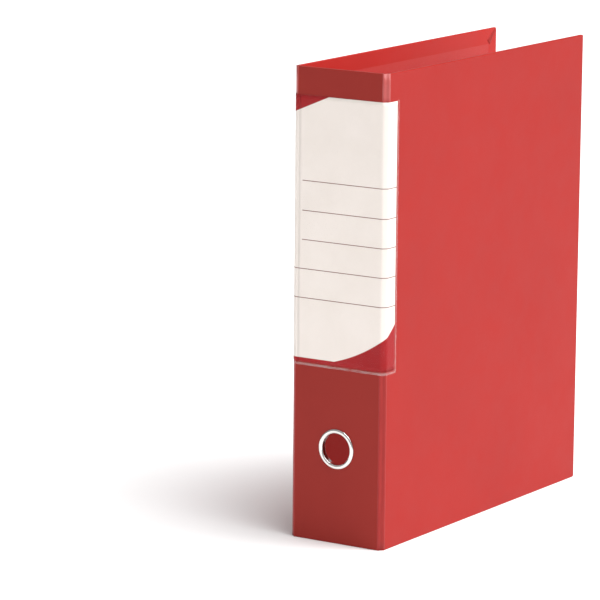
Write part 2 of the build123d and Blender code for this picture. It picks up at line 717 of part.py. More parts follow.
save("spine_board", spine_sheet(COVERING, BOARD, COVERING))
save("spine_covering", spine_covering_film())
save("spine_lining", spine_sheet(COVERING + BOARD, LINING, TURN_IN))
save("hinge_strip_front", hinge_strip(1))
save("hinge_strip_back", hinge_strip(-1))
save("finger_ring", finger_ring.part)
save("finger_ring_washer", finger_ring_washer.part)
save("label_card", label_card.part)
save("label_pocket", label_pocket.part)
save("base_plate", base_plate.part)
save("base_rivets", base_rivets.part)
save("post_lower", ring_post(-RING_U))
save("post_upper", ring_post(RING_U))
save("arch_wire", arch_wire.part)
save("arch_clip_lower", arch_clip(-CLIP_U))
save("arch_clip_upper", arch_clip(CLIP_U))
save("arch_spring", arch_spring.part)
save("lever_bracket", lever_bracket.part)
save("bracket_rivets", bracket_rivets.part)
save("lever_pin", lever_pin.part)
save("lever_arm", lever_arm.part)
save("roller_pin", roller_pin.part)
save("lever_roller", lever_roller.part)
save("press_bar", press_bar.part)
save("press_bar_knob", press_bar_knob.part)
save("knob_inlay", knob_inlay.part)
save("knob_rivet", knob_rivet.part)
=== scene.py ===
import json
import math

import bmesh
import bpy
from mathutils import Matrix, Vector

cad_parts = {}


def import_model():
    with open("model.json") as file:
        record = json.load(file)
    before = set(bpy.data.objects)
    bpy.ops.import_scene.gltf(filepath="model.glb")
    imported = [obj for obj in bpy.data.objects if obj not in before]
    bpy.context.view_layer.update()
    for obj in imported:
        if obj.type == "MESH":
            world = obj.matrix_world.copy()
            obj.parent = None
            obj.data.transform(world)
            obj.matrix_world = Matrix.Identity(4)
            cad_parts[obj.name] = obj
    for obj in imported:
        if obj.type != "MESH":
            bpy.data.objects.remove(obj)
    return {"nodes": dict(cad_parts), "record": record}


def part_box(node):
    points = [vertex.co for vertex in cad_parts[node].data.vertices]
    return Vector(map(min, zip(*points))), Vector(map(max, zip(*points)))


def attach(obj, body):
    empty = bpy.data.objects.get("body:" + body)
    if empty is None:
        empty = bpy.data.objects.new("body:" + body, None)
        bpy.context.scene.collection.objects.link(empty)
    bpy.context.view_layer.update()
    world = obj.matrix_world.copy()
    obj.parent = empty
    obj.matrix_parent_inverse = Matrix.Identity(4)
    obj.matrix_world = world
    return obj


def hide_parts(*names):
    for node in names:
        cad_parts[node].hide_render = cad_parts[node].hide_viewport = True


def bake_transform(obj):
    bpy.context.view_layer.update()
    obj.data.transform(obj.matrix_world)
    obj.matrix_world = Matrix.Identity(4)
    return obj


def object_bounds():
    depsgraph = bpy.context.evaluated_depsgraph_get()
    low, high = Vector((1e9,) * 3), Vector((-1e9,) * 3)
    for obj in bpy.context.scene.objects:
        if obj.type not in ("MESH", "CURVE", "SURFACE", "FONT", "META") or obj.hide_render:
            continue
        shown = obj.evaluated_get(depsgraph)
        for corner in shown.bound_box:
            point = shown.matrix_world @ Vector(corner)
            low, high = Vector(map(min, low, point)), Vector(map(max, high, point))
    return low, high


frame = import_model()
CAD_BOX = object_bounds()
NODES = frame["nodes"]
MM = 0.001

# ---------------------------------------------------------------- places taken from the frame
SPINE_LO, SPINE_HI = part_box("spine_covering")
COVER_LO, COVER_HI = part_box("front_covering")
POCKET_LO, POCKET_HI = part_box("label_pocket")
CARD_LO, CARD_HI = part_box("label_card")
INLAY_LO, INLAY_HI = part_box("knob_inlay")
SPINE_HALF = SPINE_HI.x
SPINE_Y = SPINE_LO.y
HALF_WIDTH = COVER_HI.x
COVER_Y = COVER_LO.y
TOP_Z = SPINE_HI.z

# ---------------------------------------------------------------- sizes of the looks
FILM = 0.5 * MM              # covering and lining bonded together at the bend
GROOVE = 0.42 * MM           # how far the film is pressed in between its two creases
CREASE_SHARPNESS = 4
POCKET_FILM = 0.18 * MM
POCKET_RAISE = 0.36 * MM     # the pocket's film over the card
POCKET_WELD = 1.3 * MM
POCKET_SLOPE = 0.9 * MM
CARD_NEAR = 0.05 * MM
CARD_FAR = 0.3 * MM
CARD_SIDE_MARGIN = 0.7 * MM
SKIN_GAP = 0.02 * MM         # keeps faces of two pieces from lying in one plane
BORE_MOUNT = next(m for m in frame["record"]["mounts"] if m["name"] == "finger_ring_bore")
RING_BORE = BORE_MOUNT["dims"]["r_mm"] * MM


def smooth(t):
    t = min(max(t, 0.0), 1.0)
    return t * t * (3 - 2 * t)


# ================================================================ node helpers
class Shader:
    """A Principled material with short calls for the nodes that drive it."""

    def __init__(self, name, **values):
        self.material = bpy.data.materials.new(name)
        self.material.use_nodes = True
        self.tree = self.material.node_tree
        self.bsdf = self.tree.nodes["Principled BSDF"]
        for socket, value in values.items():
            self.bsdf.inputs[socket.replace("_", " ")].default_value = value

    def node(self, kind, **settings):
        made = self.tree.nodes.new(kind)
        for key, value in settings.items():
            setattr(made, key, value)
        return made

    def join(self, source, target):
        self.tree.links.new(source, target)

    def place(self):
        return self.node("ShaderNodeTexCoord").outputs["Object"]

    def stretched(self, scale):
        mapping = self.node("ShaderNodeMapping")
        mapping.inputs["Scale"].default_value = scale
        self.join(self.place(), mapping.inputs["Vector"])
        return mapping.outputs["Vector"]

    def noise(self, scale, detail=3.0, roughness=0.55, vector=None):
        made = self.node("ShaderNodeTexNoise")
        made.inputs["Scale"].default_value = scale
        made.inputs["Detail"].default_value = detail
        made.inputs["Roughness"].default_value = roughness
        self.join(vector or self.place(), made.inputs["Vector"])
        return made.outputs["Fac"]

    def cells(self, scale):
        made = self.node("ShaderNodeTexVoronoi")
        made.inputs["Scale"].default_value = scale
        self.join(self.place(), made.inputs["Vector"])
        return made.outputs["Distance"]

    def math(self, operation, *values, clamp=False):
        made = self.node("ShaderNodeMath", operation=operation, use_clamp=clamp)
        for socket, value in zip(made.inputs, values):
            if isinstance(value, (int, float)):
                socket.default_value = value
            else:
                self.join(value, socket)
        return made.outputs[0]

    def spread(self, value, low, high, to_low=0.0, to_high=1.0):
        """Maps low..high to to_low..to_high, held at both ends."""
        made = self.node("ShaderNodeMapRange")
        made.inputs["From Min"].default_value = low
        made.inputs["From Max"].default_value = high
        made.inputs["To Min"].default_value = to_low
        made.inputs["To Max"].default_value = to_high
        self.join(value, made.inputs["Value"])
        return made.outputs["Result"]

    def mix(self, factor, a, b):
        made = self.node("ShaderNodeMix", data_type="RGBA")
        self.join(factor, made.inputs["Factor"])
        for name, value in (("A", a), ("B", b)):
            socket = [s for s in made.inputs if s.name == name and s.type == "RGBA"][0]
            if isinstance(value, tuple):
                socket.default_value = value
            else:
                self.join(value, socket)
        return [s for s in made.outputs if s.type == "RGBA"][0]

    def bump(self, height, strength, distance, after=None):
        made = self.node("ShaderNodeBump")
        made.inputs["Strength"].default_value = strength
        made.inputs["Distance"].default_value = distance
        self.join(height, made.inputs["Height"])
        if after:
            self.join(after, made.inputs["Normal"])
        return made.outputs["Normal"]

    def colour(self, source):
        self.join(source, self.bsdf.inputs["Base Color"])

    def rough(self, source):
        self.join(source, self.bsdf.inputs["Roughness"])

    def normal(self, source):
        self.join(source, self.bsdf.inputs["Normal"])


def paint(names, material):
    """Gives CAD nodes their material."""
    for name in names:
        slots = NODES[name].data.materials
        slots.clear()
        slots.append(material)


# ================================================================ materials
def red_film(name, deep, light, rubbed_and_sheen):
    """Embossed film: fine pebble grain, slow mottling and a satin face."""
    s = Shader(name, Roughness=0.4, Specular_IOR_Level=0.14)
    slow = s.noise(9.0, 2.0)
    patch = s.noise(60.0, 4.0)
    tone = s.mix(s.spread(slow, 0.3, 0.7), deep, light)
    tone = s.mix(s.spread(patch, 0.35, 0.75, 0.0, 0.35), tone, rubbed_and_sheen)
    s.colour(tone)
    grain = s.cells(1500.0)
    fine = s.noise(2600.0, 2.0)
    s.rough(s.spread(patch, 0.3, 0.7, 0.38, 0.48))
    flat = s.bump(slow, 0.25, 0.002)
    pebble = s.bump(grain, 0.22, 0.00012, flat)
    s.normal(s.bump(fine, 0.15, 0.00005, pebble))
    return s.material


# How far the painted highlight at the hinge film's top fades in and out.
TOP_SHEEN_FADE = 3.0 * MM


def hinge_film():
    """The same film where it bends: stretched grain, glossier, and paler above the pocket, a painted
    highlight for the light from above.
    """
    s = Shader("hinge_film_look", Roughness=0.33, Specular_IOR_Level=0.3)
    along = s.noise(420.0, 3.0, 0.6, s.stretched((1.0, 1.0, 0.12)))
    plain = s.mix(s.spread(along, 0.3, 0.7), (0.28, 0.013, 0.011, 1), (0.33, 0.02, 0.017, 1))
    height = s.node("ShaderNodeSeparateXYZ")
    s.join(s.place(), height.inputs["Vector"])
    # Painted highlight: the film is mixed to a pale red above the pocket's top, in place of light
    # falling from above.
    rubbed_and_sheen = s.spread(height.outputs["Z"], POCKET_HI.z - TOP_SHEEN_FADE, POCKET_HI.z + TOP_SHEEN_FADE)
    s.colour(s.mix(rubbed_and_sheen, plain, (0.42, 0.08, 0.075, 1)))
    s.rough(s.spread(along, 0.3, 0.7, 0.28, 0.42))
    s.normal(s.bump(along, 0.25, 0.00015))
    return s.material


def red_lining():
    """Matt printed paper inside the covers, with faint fibres."""
    s = Shader("red_lining_look", Roughness=0.6, Specular_IOR_Level=0.35)
    slow = s.noise(14.0, 2.0)
    fibre = s.noise(900.0, 4.0, 0.7, s.stretched((1.0, 0.35, 1.0)))
    tone = s.mix(s.spread(slow, 0.3, 0.7), (0.32, 0.018, 0.016, 1), (0.345, 0.022, 0.019, 1))
    s.colour(s.mix(s.spread(fibre, 0.4, 0.8, 0.0, 0.3), tone, (0.4, 0.032, 0.028, 1)))
    s.rough(s.spread(fibre, 0.3, 0.7, 0.52, 0.68))
    s.normal(s.bump(fibre, 0.2, 0.00008))
    return s.material


def greyboard():
    """Recycled board with coarse grey specks."""
    s = Shader("greyboard_look", Roughness=0.85, Specular_IOR_Level=0.2)
    speck = s.noise(1400.0, 5.0, 0.7)
    s.colour(s.mix(s.spread(speck, 0.35, 0.7), (0.26, 0.235, 0.2, 1), (0.46, 0.43, 0.38, 1)))
    s.normal(s.bump(speck, 0.4, 0.0001))
    return s.material


MARK_SHADE = 0.86


def nickel(name, tint, roughness, streak_scale):
    """Bright nickel plate with faint drawing lines and handling marks."""
    s = Shader(name, Metallic=1.0)
    streak = s.noise(260.0, 4.0, 0.6, s.stretched(streak_scale))
    marks = s.noise(45.0, 3.0)
    darker = tuple(MARK_SHADE * c for c in tint) + (1,)
    s.colour(s.mix(s.spread(marks, 0.35, 0.7), tint + (1,), darker))
    s.rough(s.spread(streak, 0.25, 0.75, roughness * 0.7, roughness * 1.5))
    s.normal(s.bump(streak, 0.12, 0.00006))
    return s.material


def spring_steel():
    """Drawn wire, greyer than the nickel round it."""
    s = Shader("spring_steel_look", Metallic=1.0)
    streak = s.noise(1800.0, 3.0)
    s.colour(s.mix(s.spread(streak, 0.3, 0.7), (0.36, 0.36, 0.38, 1), (0.52, 0.52, 0.53, 1)))
    s.rough(s.spread(streak, 0.3, 0.7, 0.24, 0.4))
    s.normal(s.bump(streak, 0.2, 0.00005))
    return s.material


def grey_inlay():
    """Moulded grey plastic with a fine spark-eroded texture."""
    s = Shader("grey_inlay_look", Roughness=0.5)
    fine = s.noise(3200.0, 3.0)
    slow = s.noise(180.0, 2.0)
    s.colour(s.mix(s.spread(slow, 0.3, 0.7), (0.105, 0.103, 0.105, 1), (0.15, 0.147, 0.15, 1)))
    s.rough(s.spread(fine, 0.3, 0.7, 0.42, 0.6))
    s.normal(s.bump(fine, 0.3, 0.00006))
    return s.material


# The card's print. U runs round the case from the spine's back edge, and V runs up; both in metres.
RULES = (0.267, 0.245, 0.2235, 0.202, 0.1805)
SHORT_RULES = 3              # the upper rules start a little way in
RULE_HALF = 0.27 * MM
RULE_INSET = 4.5 * MM
RULE_START = -20.0 * MM      # past the fold round the back corner
PRINT_BOTTOM = 136.0 * MM
PRINT_SLANT_LOW = 318.0 * MM
PRINT_SLANT_RUN = 26.5 * MM
SWEEP_START = 33.2 * MM      # where the lower edge starts to curve up
SWEEP_RADIUS = 130.0 * MM
SWEEP_BACK = 35.1 * MM
PRINT_SOFT = 0.08 * MM


def printed_card():
    """White label field on red card, with five thin brown rules."""
    s = Shader("label_card_look", Roughness=0.5, Specular_IOR_Level=0.12)
    uv = s.node("ShaderNodeUVMap", uv_map="wrap")
    split = s.node("ShaderNodeSeparateXYZ")
    s.join(uv.outputs["UV"], split.inputs["Vector"])
    u, v = split.outputs["X"], split.outputs["Y"]

    slope = (CARD_HI.z - PRINT_SLANT_LOW) / PRINT_SLANT_RUN
    slant = s.math("SUBTRACT", s.math("MULTIPLY_ADD", u, slope, PRINT_SLANT_LOW), v)
    under_slant = s.spread(slant, -PRINT_SOFT, PRINT_SOFT)
    over_bottom = s.spread(v, PRINT_BOTTOM - PRINT_SOFT, PRINT_BOTTOM + PRINT_SOFT)
    middle_u = SWEEP_START - SWEEP_BACK
    rise = math.sqrt(SWEEP_RADIUS**2 - SWEEP_BACK**2)
    du = s.math("SUBTRACT", u, middle_u)
    dv = s.math("SUBTRACT", v, PRINT_BOTTOM + rise)
    square = s.math("ADD", s.math("MULTIPLY", du, du), s.math("MULTIPLY", dv, dv))
    reach = s.math("SQRT", square)
    in_sweep = s.spread(reach, SWEEP_RADIUS - PRINT_SOFT, SWEEP_RADIUS + PRINT_SOFT, 1.0, 0.0)
    before_sweep = s.math("LESS_THAN", u, SWEEP_START)
    curved = s.math("MAXIMUM", in_sweep, before_sweep)
    field = s.math("MULTIPLY", s.math("MULTIPLY", under_slant, over_bottom), curved)

    ink = None
    for index, level in enumerate(RULES):
        start = RULE_INSET if index < SHORT_RULES else RULE_START
        away = s.math("ABSOLUTE", s.math("SUBTRACT", v, level))
        line = s.spread(away, RULE_HALF - PRINT_SOFT, RULE_HALF + PRINT_SOFT, 1.0, 0.0)
        line = s.math("MULTIPLY", line, s.math("GREATER_THAN", u, start))
        ink = line if ink is None else s.math("MAXIMUM", ink, line)

    fibre = s.noise(1200.0, 4.0, 0.7)
    mottle = s.noise(35.0, 3.0)
    red = s.mix(s.spread(mottle, 0.3, 0.7), (0.29, 0.011, 0.013, 1), (0.32, 0.015, 0.018, 1))
    white = s.mix(s.spread(mottle, 0.3, 0.7), (0.745, 0.68, 0.63, 1), (0.775, 0.71, 0.665, 1))
    printed = s.mix(ink, white, (0.17, 0.06, 0.045, 1))
    s.colour(s.mix(field, red, printed))
    s.rough(s.spread(fibre, 0.3, 0.7, 0.42, 0.58))
    s.normal(s.bump(fibre, 0.12, 0.00005))
    return s.material


def clear_film():
    """Clear polypropylene: nearly invisible over the card, milky along its welds."""
    s = Shader("clear_film_look", Roughness=0.16, Specular_IOR_Level=0.5)
    s.bsdf.inputs["Base Color"].default_value = (0.90, 0.80, 0.79, 1)
    weld = s.node("ShaderNodeAttribute", attribute_name="weld").outputs["Fac"]
    cloud = s.noise(220.0, 4.0)
    waves = s.noise(26.0, 2.0)
    haze = s.spread(cloud, 0.3, 0.8, 0.0, 0.008)
    milky = s.spread(cloud, 0.3, 0.7, 0.04, 0.14)
    mask = s.math("MULTIPLY", weld, milky)
    s.join(s.math("ADD", haze, mask, clamp=True), s.bsdf.inputs["Alpha"])
    s.rough(s.spread(weld, 0.0, 1.0, 0.12, 0.38))
    knurl = s.bump(s.noise(1500.0, 2.0), 0.12, 0.00005)
    s.normal(s.bump(waves, 0.2, 0.0008, knurl))
    return s.material


# ================================================================ mesh helpers
def mesh_object(name, mesh):
    """A smooth-shaded object in the scene."""
    made = bpy.data.objects.new(name, mesh)
    bpy.context.scene.collection.objects.link(made)
    for face in mesh.polygons:
        face.use_smooth = True
    return made


def even(low, high, steps):
    """Evenly spaced values from low to high, both included."""
    return [low + (high - low) * k / steps for k in range(steps + 1)]


def corner_point(side, share, distance, dip):
    """A point of a film round a corner of the case: two creases with a dip between them.

    Share 0 is the spine's edge and share 1 the cover's. Side is 1 at the front and -1 at the back.
    """
    run = HALF_WIDTH - SPINE_HALF + distance
    chord = math.sqrt(2) * run
    bulge = chord / (2 * CREASE_SHARPNESS) * (1 - abs(2 * share - 1) ** CREASE_SHARPNESS)
    out = bulge - dip * math.cos(math.pi * (share - 0.5)) ** 4
    x = SPINE_HALF + run * share + out / math.sqrt(2)
    y = SPINE_Y - distance + run * share - out / math.sqrt(2)
    return Vector((side * x, y))


NORMAL_STEP = 0.01


def corner_normal(side, share, distance, dip):
    before = corner_point(side, max(share - NORMAL_STEP, 0), distance, dip)
    after = corner_point(side, min(share + NORMAL_STEP, 1), distance, dip)
    way = (after - before).normalized()
    return Vector((way.y, -way.x)) * side


def ribbon(name, count, outer, inner, levels, lengths=None, weld=None):
    """A closed sheet of count columns; outer and inner give a point for (column, level).

    Lengths give its U map, and weld its weld attribute.
    """
    mesh = bpy.data.meshes.new(name)
    bm = bmesh.new()
    grids = []
    for surface in (outer, inner):
        grids.append([[bm.verts.new(surface(i, z)) for i in range(count)] for z in levels])
    last_row, last_column = len(levels) - 1, count - 1

    def face(a, b, c, d):
        bm.faces.new((a, b, c, d))

    out, back = grids
    for r in range(last_row):
        for c in range(last_column):
            face(out[r][c], out[r][c + 1], out[r + 1][c + 1], out[r + 1][c])
            face(back[r][c], back[r + 1][c], back[r + 1][c + 1], back[r][c + 1])
    for r in range(last_row):
        face(out[r][0], out[r + 1][0], back[r + 1][0], back[r][0])
        low, high = back[r][last_column], back[r + 1][last_column]
        face(out[r][last_column], low, high, out[r + 1][last_column])
    for c in range(last_column):
        face(out[0][c], back[0][c], back[0][c + 1], out[0][c + 1])
        face(out[last_row][c], out[last_row][c + 1], back[last_row][c + 1], back[last_row][c])
    bmesh.ops.recalc_face_normals(bm, faces=bm.faces)
    bm.verts.index_update()
    if lengths is not None:
        layer = bm.loops.layers.uv.new("wrap")
        for polygon in bm.faces:
            for loop in polygon.loops:
                loop[layer].uv = (lengths[loop.vert.index % count], loop.vert.co.z)
    bm.to_mesh(mesh)
    bm.free()
    if weld is not None:
        attribute = mesh.attributes.new("weld", "FLOAT", "POINT")
        values = [weld(index % count, vertex.co.z) for index, vertex in enumerate(mesh.vertices)]
        attribute.data.foreach_set("value", values)
    return mesh_object(name, mesh)


# ================================================================ hinge films
HINGE_STEPS = 28
HINGE_LEVELS = 40


def hinge_strip(name, side):
    """The outer film between the spine and a cover."""
    shares = even(0.0, 1.0, HINGE_STEPS)

    def outer(i, z):
        p = corner_point(side, shares[i], 0.0, GROOVE)
        return Vector((p.x, p.y, z))

    def inner(i, z):
        depth = FILM * corner_normal(side, shares[i], 0.0, GROOVE)
        p = corner_point(side, shares[i], 0.0, GROOVE) - depth
        return Vector((p.x, p.y, z))

    levels = even(SPINE_LO.z, TOP_Z, HINGE_LEVELS)
    strip = ribbon(name, len(shares), outer, inner, levels)
    strip.data.materials.append(HINGE_LOOK)
    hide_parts("hinge_strip_front" if side > 0 else "hinge_strip_back")
    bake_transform(strip)


LINER = 0.16 * MM
LINER_LAP = 6.0 * MM
LINER_GAP = 0.03 * MM
LINER_DEPTH = 1.1 * MM       # how deep the lining is tucked into the groove inside
LINER_END = 2.0 * MM         # short of the case's top and bottom
GUTTER_STEPS = 16
LAP_STEPS = 4


def hinge_liner(name, side):
    """The lining that bridges a hinge inside, lapped on both panels and tucked into the groove."""
    spine_inner = SPINE_HI.y
    cover_inner = HALF_WIDTH - (COVER_HI.x - COVER_LO.x)
    a = Vector((SPINE_HALF, spine_inner + LINER_GAP))
    b = Vector((cover_inner - LINER_GAP, COVER_Y))
    outward = Vector((1, -1)).normalized()
    laps = [LINER_LAP * (k + 1) / LAP_STEPS for k in range(LAP_STEPS)]
    line = [(a - Vector((lap, 0)), Vector((0, 1))) for lap in reversed(laps)]
    for k in range(GUTTER_STEPS + 1):
        share = k / GUTTER_STEPS
        turn = Vector((0, 1)).lerp(Vector((-1, 0)), share).normalized()
        line.append((a.lerp(b, share) + outward * LINER_DEPTH * math.sin(math.pi * share), turn))
    line += [(b + Vector((0, lap)), Vector((-1, 0))) for lap in laps]

    def surface(lift):
        def point(i, z):
            p = line[i][0] + line[i][1] * lift
            return Vector((side * p.x, p.y, z))

        return point

    levels = even(SPINE_LO.z + LINER_END, TOP_Z - LINER_END, HINGE_LEVELS)
    liner = ribbon(name, len(line), surface(LINER), surface(0.0), levels)
    liner.data.materials.append(LINING_LOOK)
    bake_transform(liner)


FOLD_RISE = 0.14 * MM
FOLD_WIDTH = 5.0 * MM
FOLD_INSET = 1.2 * MM        # from the panel's corner, both ways
FOLD_STEPS = 10
FOLD_PROFILE = ((0.0, 0.0), (0.06, 0.8), (0.2, 1.0), (0.75, 0.6), (1.0, 0.0))
FOLD_SHIFT = 0.3             # share of the width on the near side of the diagonal
FOLD_TIP_WIDTH = 0.35        # share of the width at the corner
TURN_IN = 12.0 * MM


def corner_fold(name, body, side, end):
    """The mitred overlap of the turned-in film at a fore-edge corner: a low wedge on the diagonal."""
    inner = side * (HALF_WIDTH - (COVER_HI.x - COVER_LO.x))
    tip = Vector((COVER_HI.y - FOLD_INSET, TOP_Z - FOLD_INSET if end > 0 else FOLD_INSET))
    along = Vector((-1, -end)).normalized()
    across = Vector((along.y, -along.x)) * end
    reach = TURN_IN * math.sqrt(2) - 2 * FOLD_INSET
    mesh = bpy.data.meshes.new(name)
    bm = bmesh.new()
    rows = []
    for share in even(0.0, 1.0, FOLD_STEPS):
        spread = FOLD_TIP_WIDTH + (1 - FOLD_TIP_WIDTH) * math.sin(math.pi / 2 * share)
        width = FOLD_WIDTH * spread
        row = []
        for shift, rise in FOLD_PROFILE:
            p = tip + along * reach * share + across * width * (shift - FOLD_SHIFT)
            lift = FOLD_RISE * rise * smooth(4 * share) * smooth(6 * (1 - share))
            row.append(bm.verts.new((inner - side * (SKIN_GAP + lift), p.x, p.y)))
        base = [bm.verts.new((inner - side * SKIN_GAP / 2, v.co.y, v.co.z)) for v in row]
        rows.append((row, base))
    last = len(FOLD_PROFILE) - 1
    for (top, low), (next_top, next_low) in zip(rows, rows[1:]):
        for c in range(last):
            bm.faces.new((top[c], top[c + 1], next_top[c + 1], next_top[c]))
            bm.faces.new((low[c], next_low[c], next_low[c + 1], low[c + 1]))
        bm.faces.new((top[0], next_top[0], next_low[0], low[0]))
        bm.faces.new((top[last], low[last], next_low[last], next_top[last]))
    for top, low in (rows[0], rows[-1]):
        for c in range(last):
            bm.faces.new((top[c], low[c], low[c + 1], top[c + 1]))
    bmesh.ops.recalc_face_normals(bm, faces=bm.faces)
    bm.to_mesh(mesh)
    bm.free()
    fold = mesh_object(name, mesh)
    fold.data.materials.append(FILM_LOOK)
    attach(fold, body)


# ================================================================ label and pocket
CARD_LEVELS = 60
WELD_LEVELS = 12             # close levels over the lower weld
WELD_STEP = 0.3 * MM
POCKET_LEVELS = 70           # and wider ones above it
CORNER_STEPS = 14


def wrap_stations(start_x, end_y, spine_steps, cover_steps):
    """Stations round a corner as (where, value) pairs: across the spine, the corner and the cover."""
    run = SPINE_HALF - start_x
    stations = [("spine", start_x + run * k / spine_steps) for k in range(spine_steps)]
    stations += [("corner", k / CORNER_STEPS) for k in range(CORNER_STEPS)]
    stations += [("cover", y) for y in even(COVER_Y, end_y, cover_steps)]
    return stations


def wrap_point(station, distance, side):
    """A station's point at a distance outside the case, round the front (1) or back (-1) corner."""
    where, value = station
    if where == "spine":
        return Vector((side * value, SPINE_Y - distance))
    if where == "cover":
        return Vector((side * (HALF_WIDTH + distance), value))
    return corner_point(side, value, distance, 0.0)


def wrap_lengths(stations, side):
    """Each station's distance round the case from the spine's back edge, negative on the back cover."""
    points = [wrap_point(s, 0.0, side) for s in stations]
    lengths = [points[0].x + SPINE_HALF]
    for a, b in zip(points, points[1:]):
        lengths.append(lengths[-1] + side * (b - a).length)
    return lengths


def wrapped_sheet(name, stations, levels, near, far, weld=None, side=1):
    """A sheet round a corner. Near and far give the heights of its faces from length and level."""
    lengths = wrap_lengths(stations, side)

    def surface(height):
        def point(i, z):
            p = wrap_point(stations[i], height(lengths[i], z), side)
            return Vector((p.x, p.y, z))

        return point

    def weld_at(i, z):
        return weld(lengths[i], z)

    weld_values = weld_at if weld else None
    return ribbon(name, len(stations), surface(far), surface(near), levels, lengths, weld_values)


def card_near(length, level):
    return CARD_NEAR


def card_far(length, level):
    return CARD_FAR


def label_card():
    """The printed card on the spine and the front cover, and its fold round the back corner."""
    side = CARD_SIDE_MARGIN + POCKET_WELD / 2
    levels = even(CARD_LO.z, CARD_HI.z, CARD_LEVELS)
    stations = wrap_stations(-SPINE_HALF + side, CARD_HI.y, spine_steps=30, cover_steps=8)
    card = wrapped_sheet("label_card_print", stations, levels, card_near, card_far)
    card.data.materials.append(CARD_LOOK)
    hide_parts("label_card")
    blend_round_corner(card)

    stations = wrap_stations(SPINE_HALF - side, CARD_HI.y, spine_steps=4, cover_steps=8)
    fold = wrapped_sheet("label_card_back_fold", stations, levels, card_near, card_far, side=-1)
    fold.data.materials.append(CARD_LOOK)
    blend_round_corner(fold)


def blend_round_corner(piece):
    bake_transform(piece)


def label_pocket():
    """The clear film over the card, raised inside its welds, and its fold round the back corner."""
    stations = wrap_stations(-SPINE_HALF, POCKET_HI.y, spine_steps=60, cover_steps=24)
    back_stations = wrap_stations(SPINE_HALF, POCKET_HI.y, spine_steps=0, cover_steps=24)
    weld_levels = [POCKET_LO.z + k * WELD_STEP for k in range(WELD_LEVELS)]
    levels = weld_levels[:-1] + even(weld_levels[-1], POCKET_HI.z, POCKET_LEVELS)
    total = wrap_lengths(stations, 1)[-1]
    back_total = wrap_lengths(back_stations, -1)[-1]

    def inside(s, z):
        """0 on the welds, 1 over the card."""
        edge = min(s - back_total, total - s, z - POCKET_LO.z)
        return smooth((edge - POCKET_WELD) / POCKET_SLOPE)

    def near(s, z):
        return SKIN_GAP + POCKET_RAISE * inside(s, z)

    def far(s, z):
        return near(s, z) + POCKET_FILM

    def weld(s, z):
        return 1.0 - inside(s, z)

    pocket = wrapped_sheet("label_pocket_film", stations, levels, near, far, weld)
    pocket.data.materials.append(CLEAR_LOOK)
    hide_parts("label_pocket")
    blend_round_corner(pocket)

    fold = wrapped_sheet("label_pocket_back_fold", back_stations, levels, near, far, weld, side=-1)
    fold.data.materials.append(CLEAR_LOOK)
    blend_round_corner(fold)


# ================================================================ knob inlay
INLAY_AROUND = 72
# Shares of the disc's radius and height, from the middle out.
INLAY_PROFILE = (
    (0.0, 0.97), (0.10, 0.96), (0.14, 0.78), (0.20, 0.72), (0.52, 0.72),
    (0.56, 0.80), (0.60, 0.92), (0.70, 0.92), (0.74, 0.80), (0.80, 0.74),
    (0.90, 0.74), (0.94, 0.92), (0.975, 0.95), (0.995, 0.85), (0.995, 0.0),
)


def knob_inlay():
    """A moulded disc with a raised rim, a sunk ring and a dot in the middle."""
    middle = (INLAY_LO + INLAY_HI) / 2
    radius = (INLAY_HI.z - INLAY_LO.z) / 2
    base = INLAY_LO.x
    high = INLAY_HI.x - base
    mesh = bpy.data.meshes.new("knob_inlay_disc")
    bm = bmesh.new()
    rings = []
    for share, height in INLAY_PROFILE[1:]:
        ring = []
        for k in range(INLAY_AROUND):
            angle = 2 * math.pi * k / INLAY_AROUND
            y = middle.y + radius * share * math.cos(angle)
            z = middle.z + radius * share * math.sin(angle)
            ring.append(bm.verts.new((base + high * height, y, z)))
        rings.append(ring)
    centre = bm.verts.new((base + high * INLAY_PROFILE[0][1], middle.y, middle.z))
    for k in range(INLAY_AROUND):
        n = (k + 1) % INLAY_AROUND
        bm.faces.new((centre, rings[0][k], rings[0][n]))
        for low, up in zip(rings, rings[1:]):
            bm.faces.new((low[k], up[k], up[n], low[n]))
    bm.faces.new(rings[-1])
    bmesh.ops.recalc_face_normals(bm, faces=bm.faces)
    bm.to_mesh(mesh)
    bm.free()
    disc = mesh_object("knob_inlay_disc", mesh)
    disc.data.polygons[len(disc.data.polygons) - 1].use_smooth = False
    disc.data.materials.append(INLAY_LOOK)
    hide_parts("knob_inlay")
    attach(disc, "press_bar")


# ================================================================ finger ring
def turned_about_y(name, profile, centre, around):
    """Turns a closed outline of (radius, y) points round an axis along Y through centre."""
    mesh = bpy.data.meshes.new(name)
    bm = bmesh.new()
    angles = [2 * math.pi * k / around for k in range(around)]
    rings = []
    for radius, y in profile:
        points = [(centre.x + radius * math.cos(a), y, centre.z + radius * math.sin(a)) for a in angles]
        rings.append([bm.verts.new(point) for point in points])
    for low, high in zip(rings, rings[1:] + rings[:1]):
        for k in range(around):
            n = (k + 1) % around
            bm.faces.new((low[k], high[k], high[n], low[n]))
    bmesh.ops.recalc_face_normals(bm, faces=bm.faces)
    bm.to_mesh(mesh)
    bm.free()
    return mesh_object(name, mesh)


RING_SHEET = 0.4 * MM
RING_LIP_SHORT = 1.4 * MM    # the lip's edge inside the flange's
RING_LIP_BEVEL = 0.1 * MM
RING_ROLL_START = 0.2 * MM   # below the washer's inner face
RING_BEAD_STEPS = 18
RING_BEAD_FULLNESS = 0.8     # under 1 is fuller than a half circle
RING_ROLL_STEPS = 8
RING_AROUND = 128


